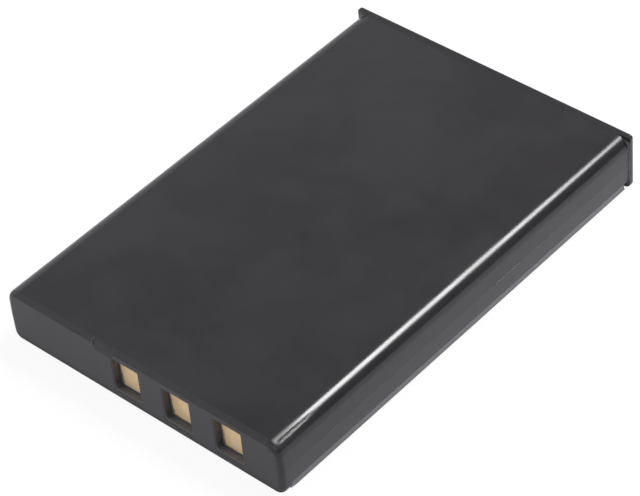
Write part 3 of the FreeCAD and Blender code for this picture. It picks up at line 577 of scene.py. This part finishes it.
def parting_flash():
    """Fine ridge along both side walls, as thick as the leak between the mould's halves was."""
    tree, given, result = new_growth("parting_flash", (
        "Front", "Rear", "Span", "Level", "Radius", "Heavy At", "Heavy Reach", "Seed"))
    leak_look = {"Scale": 260.0, "Detail": 3.0, "Roughness": 0.6}
    front_end = add_node(tree, "ShaderNodeCombineXYZ")
    rear_end = add_node(tree, "ShaderNodeCombineXYZ")
    line = add_node(tree, "GeometryNodeCurvePrimitiveLine")
    steps = add_node(tree, "GeometryNodeResampleCurve", {"Count": 500})
    spot = add_node(tree, "GeometryNodeInputPosition")
    along = add_node(tree, "ShaderNodeSeparateXYZ")
    leak = add_node(tree, "ShaderNodeTexNoise", leak_look, noise_dimensions="4D")
    thin = range_node(tree, 0.4, 0.75, 0.05, 0.4)
    away = math_node(tree, "SUBTRACT")
    reach = math_node(tree, "ABSOLUTE")
    share = math_node(tree, "DIVIDE")
    heavy = range_node(tree, 1.0, 0.7, 0.0, 0.9, blend="SMOOTHSTEP")
    thickness = math_node(tree, "ADD")
    bead = add_node(tree, "GeometryNodeCurvePrimitiveCircle", {"Resolution": 8})
    swept = add_node(tree, "GeometryNodeCurveToMesh", {"Fill Caps": True})
    half = math_node(tree, "MULTIPLY", {1: -0.5})
    left = add_node(tree, "ShaderNodeCombineXYZ")
    across = add_node(tree, "ShaderNodeCombineXYZ")
    walls = add_node(tree, "GeometryNodeMeshLine", {"Count": 2})
    on_walls = add_node(tree, "GeometryNodeInstanceOnPoints")
    wire(
        tree,
        (given, "Front", front_end, "Y"), (given, "Rear", rear_end, "Y"),
        (front_end, "Vector", line, "Start"), (rear_end, "Vector", line, "End"),
        (line, "Curve", steps, "Curve"), (spot, "Position", along, "Vector"),
        (spot, "Position", leak, "Vector"), (given, "Seed", leak, "W"), (leak, "Fac", thin, "Value"),
        (along, "Y", away, 0), (given, "Heavy At", away, 1), (away, "Value", reach, 0),
        (reach, "Value", share, 0), (given, "Heavy Reach", share, 1), (share, "Value", heavy, "Value"),
        (thin, "Result", thickness, 0), (heavy, "Result", thickness, 1),
        (given, "Radius", bead, "Radius"), (steps, "Curve", swept, "Curve"),
        (bead, "Curve", swept, "Profile Curve"), (thickness, "Value", swept, "Scale"),
        (given, "Span", half, 0), (half, "Value", left, "X"), (given, "Level", left, "Z"),
        (given, "Span", across, "X"), (left, "Vector", walls, "Start Location"),
        (across, "Vector", walls, "Offset"),
        (walls, "Mesh", on_walls, "Points"), (swept, "Mesh", on_walls, "Instance"))
    end_growth(tree, on_walls, "Instances", case_plastic, result)
    return tree


parting_ridge = grow(parting_flash(), {
    "Front": -0.0245, "Rear": 0.0255, "Span": case_width, "Level": parting_level, "Radius": 3.4e-5,
    "Heavy At": 0.0083, "Heavy Reach": 0.0047, "Seed": 4.0})
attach(parting_ridge, "root")


# Bottom cover
# A second moulding of the same plastic that closes the underside and is welded to the case.
# Its edge is a little lighter and shows as a band under the side walls.
cover_plastic = new_finish(
    "cover_plastic", plastic, {"Grain Size": 6000.0, "Polish": 0.3, "Smudge": 0.06},
    clean=(0.085, 0.08, 0.086), stained=(0.098, 0.093, 0.099), relief_depth=1.5e-6)
cover_plastic.node_tree.nodes["Principled BSDF"].inputs["IOR"].default_value = 1.6
dress(cover_plastic, "bottom_cover")


# Studio
# A pale floor that keeps the object's shadow, white to the camera. Outside the footprint, mirrored rays see
# it glow faintly mauve, with a painted shadow that dims this glow towards the front, where the pack's shadow
# falls.
# A large softbox stands behind the pack and fades to one side, and a weak fill light beside the camera.
# The room is grey, brighter on the left, with a dim band high up; a long lens looks down from the right.
def grey_ramp(tree, stops, blue=1.0):
    """Ramp of greys from pairs of a place and a level, in order from 0 to 1, with blue scaled."""
    ramp = add_node(tree, "ShaderNodeValToRGB")
    elements = ramp.color_ramp.elements
    for place, level in stops[1:-1]:
        elements.new(place)
    for element, (place, level) in zip(elements, stops):
        element.color = (level, level, blue * level, 1.0)
    return ramp


footprint_reach = (0.0174, 0.0268, 1.0)
floor_grey = (0.8, 0.8, 0.8, 1.0)
neutral_white = (1.0, 1.0, 1.0, 1.0)
mirrored_white = (1.0, 0.98, 1.05, 1.0)
camera_share = 0.93

bpy.ops.mesh.primitive_plane_add(size=6.0, location=(0.0, 0.0, -2e-5))
floor = bpy.context.object
floor.name = "floor"
floor_paint = bpy.data.materials.new("floor_paint")
floor_paint.use_nodes = True
floor.data.materials.append(floor_paint)
tree = floor_paint.node_tree
tree.nodes.remove(tree.nodes["Principled BSDF"])
paint = add_node(tree, "ShaderNodeBsdfDiffuse", {"Color": floor_grey})
white = add_node(tree, "ShaderNodeEmission")
cast = add_node(tree, "ShaderNodeMix", {6: neutral_white, 7: mirrored_white}, data_type="RGBA")
ray = add_node(tree, "ShaderNodeLightPath")
mirrored = math_node(tree, "MAXIMUM")
place = add_node(tree, "ShaderNodeTexCoord")
spread = add_node(tree, "ShaderNodeSeparateXYZ")
length_share = range_node(tree, -0.0285, 0.03)
# Painted shadow in reflections: the glow that mirrored rays see dims towards the front, where the pack's
# shadow falls.
shaded = grey_ramp(tree, ((0.0, 0.37), (0.03, 0.37), (0.1, 0.24), (1.0, 0.07)))
lost = math_node(tree, "MULTIPLY")
dimmed = math_node(tree, "SUBTRACT", {0: 1.0})
folded = vector_node(tree, "ABSOLUTE")
footprint = vector_node(tree, "DIVIDE", {1: footprint_reach})
reaches = add_node(tree, "ShaderNodeSeparateXYZ")
outside = math_node(tree, "MAXIMUM")
clear = range_node(tree, 0.99, 1.015, 0.0, 0.9)
open_floor = math_node(tree, "MULTIPLY")
seen = math_node(tree, "MULTIPLY", {1: camera_share})
share = math_node(tree, "MAXIMUM")
mixed = add_node(tree, "ShaderNodeMixShader")
wire(
    tree,
    (ray, "Is Glossy Ray", mirrored, 0),
    (ray, "Is Transmission Ray", mirrored, 1),
    (place, "Object", spread, "Vector"),
    (spread, "Y", length_share, "Value"),
    (length_share, "Result", shaded, "Fac"),
    (mirrored, "Value", lost, 0),
    (shaded, "Color", lost, 1),
    (lost, "Value", dimmed, 1),
    (dimmed, "Value", white, "Strength"),
    (mirrored, "Value", cast, "Factor"),
    (cast, 2, white, "Color"),
    (place, "Object", folded, 0),
    (folded, "Vector", footprint, 0),
    (footprint, "Vector", reaches, "Vector"),
    (reaches, "X", outside, 0),
    (reaches, "Y", outside, 1),
    (outside, "Value", clear, "Value"),
    (mirrored, "Value", open_floor, 0),
    (clear, "Result", open_floor, 1),
    (ray, "Is Camera Ray", seen, 0),
    (seen, "Value", share, 0),
    (open_floor, "Value", share, 1),
    (share, "Value", mixed, "Fac"),
    (paint, "BSDF", mixed, 1),
    (white, "Emission", mixed, 2),
    (mixed, "Shader", tree.nodes["Material Output"], "Surface"))

world = bpy.data.worlds.new("grey_room")
bpy.context.scene.world = world
world.use_nodes = True
tree = world.node_tree
to_left = (-0.48, -0.14, 0.0)
room_levels = (
    (0.0, 0.03), (0.3, 0.14), (0.6, 0.18), (0.66, 0.14), (0.69, 0.3),
    (0.705, 0.44), (0.72, 0.65), (0.8, 0.78), (1.0, 0.9))
band_levels = ((0.0, 0.575), (0.6, 0.575), (0.72, 0.395), (0.77, 0.46), (0.82, 0.5), (1.0, 0.5))
outlook = add_node(tree, "ShaderNodeTexCoord")
leftward = vector_node(tree, "DOT_PRODUCT", {1: to_left})
upward = add_node(tree, "ShaderNodeSeparateXYZ")
band = grey_ramp(tree, band_levels)
centred = math_node(tree, "ADD")
room_grey = grey_ramp(tree, room_levels, blue=1.01)
wire(
    tree,
    (outlook, "Generated", leftward, 0),
    (outlook, "Generated", upward, "Vector"),
    (upward, "Z", band, "Fac"),
    (leftward, "Value", centred, 0),
    (band, "Color", centred, 1),
    (centred, "Value", room_grey, "Fac"),
    (room_grey, "Color", tree.nodes["Background"], "Color"))

softbox = bpy.data.lights.new("softbox", "AREA")
softbox.shape = "ELLIPSE"
softbox.size = 0.36
softbox.size_y = 0.24
softbox.energy = 5.4
softbox.use_nodes = True
tree = softbox.node_tree
spot = add_node(tree, "ShaderNodeNewGeometry")
across = add_node(tree, "ShaderNodeSeparateXYZ")
fade = range_node(tree, 1.0, 0.5, blend="SMOOTHSTEP")
wire(
    tree,
    (spot, "Parametric", across, "Vector"),
    (across, "X", fade, "Value"),
    (fade, "Result", tree.nodes["Emission"], "Strength"))
softbox_stand = bpy.data.objects.new("softbox", softbox)
bpy.context.scene.collection.objects.link(softbox_stand)
light_distance = 0.6
edge_middle = Vector((0.0168, 0.0, 0.0063))
to_softbox = Vector((0.19, 0.46, 0.86)).normalized()
sideways = (Vector((1.0, 0.0, 0.0)) - to_softbox.x * to_softbox).normalized()
softbox_axes = Matrix((sideways, to_softbox.cross(sideways), to_softbox)).transposed().to_4x4()
softbox_stand.matrix_world = Matrix.Translation(edge_middle + light_distance * to_softbox) @ softbox_axes

fill_light = bpy.data.lights.new("fill_light", "AREA")
fill_light.shape = "DISK"
fill_light.size = 0.3
fill_light.energy = 0.6
fill_stand = bpy.data.objects.new("fill_light", fill_light)
bpy.context.scene.collection.objects.link(fill_stand)
to_fill = Vector((0.45, -0.7, 0.55)).normalized()
fill_axes = to_fill.to_track_quat("Z", "Y").to_matrix().to_4x4()
fill_stand.matrix_world = Matrix.Translation(light_distance * to_fill) @ fill_axes

camera = bpy.data.cameras.new("photo_camera")
camera.lens = 161.412
camera.sensor_width = 36.0
camera.sensor_fit = "HORIZONTAL"
camera.clip_start = 0.01
camera_stand = bpy.data.objects.new("photo_camera", camera)
bpy.context.scene.collection.objects.link(camera_stand)
camera_place = Vector((0.146864, -0.147722, 0.193479))
right = Vector((0.752230, 0.654564, -0.075474))
up = Vector((-0.404095, 0.548771, 0.731820))
back = Vector((0.520440, -0.519998, 0.677307))
camera_axes = Matrix((right, up, back)).transposed().to_4x4()
camera_stand.matrix_world = Matrix.Translation(camera_place) @ camera_axes
bpy.context.scene.camera = camera_stand
bpy.context.scene.view_settings.view_transform = "Standard"
